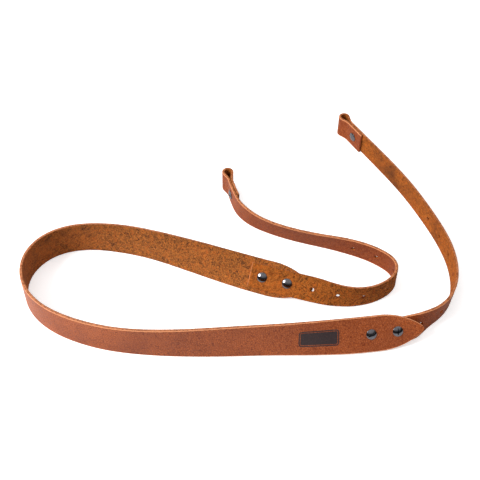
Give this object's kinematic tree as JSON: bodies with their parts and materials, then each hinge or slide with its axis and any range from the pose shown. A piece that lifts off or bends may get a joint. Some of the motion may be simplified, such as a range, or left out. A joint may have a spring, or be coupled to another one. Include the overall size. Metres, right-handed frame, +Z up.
{
  "type": "leather camera neck strap",
  "caption": "Leather camera neck strap: a wide band with pointed ends, narrow punched straps screwed on at each end, each closed in a loop for a lug; standing on edge.",
  "frame": {"origin": "on the table, under the middle of the whole strap", "axes": "+Z up, +X along the front run of the neck band towards its tip, +Y towards the end loops"},
  "size_m": [0.4304, 0.3178, 0.0352],
  "materials": {
    "band_leather": "vegetable-tanned saddle leather, smooth pebbled grain side and brushed suede flesh side",
    "strap_leather": "vegetable-tanned saddle leather, smooth grain side and brushed flesh side",
    "dark_metal": "polished black-nickel plated steel"
  },
  "bodies": {
    "root": {"neck_band": "band_leather", "left_strap": "strap_leather", "right_strap": "strap_leather", "left_lap_1_post": "dark_metal", "left_lap_1_screw": "dark_metal", "left_lap_2_post": "dark_metal", "left_lap_2_screw": "dark_metal", "left_loop_post": "dark_metal", "left_loop_screw": "dark_metal", "right_lap_1_post": "dark_metal", "right_lap_1_screw": "dark_metal", "right_lap_2_post": "dark_metal", "right_lap_2_screw": "dark_metal", "right_loop_post": "dark_metal", "right_loop_screw": "dark_metal"}
  },
  "joints": []
}
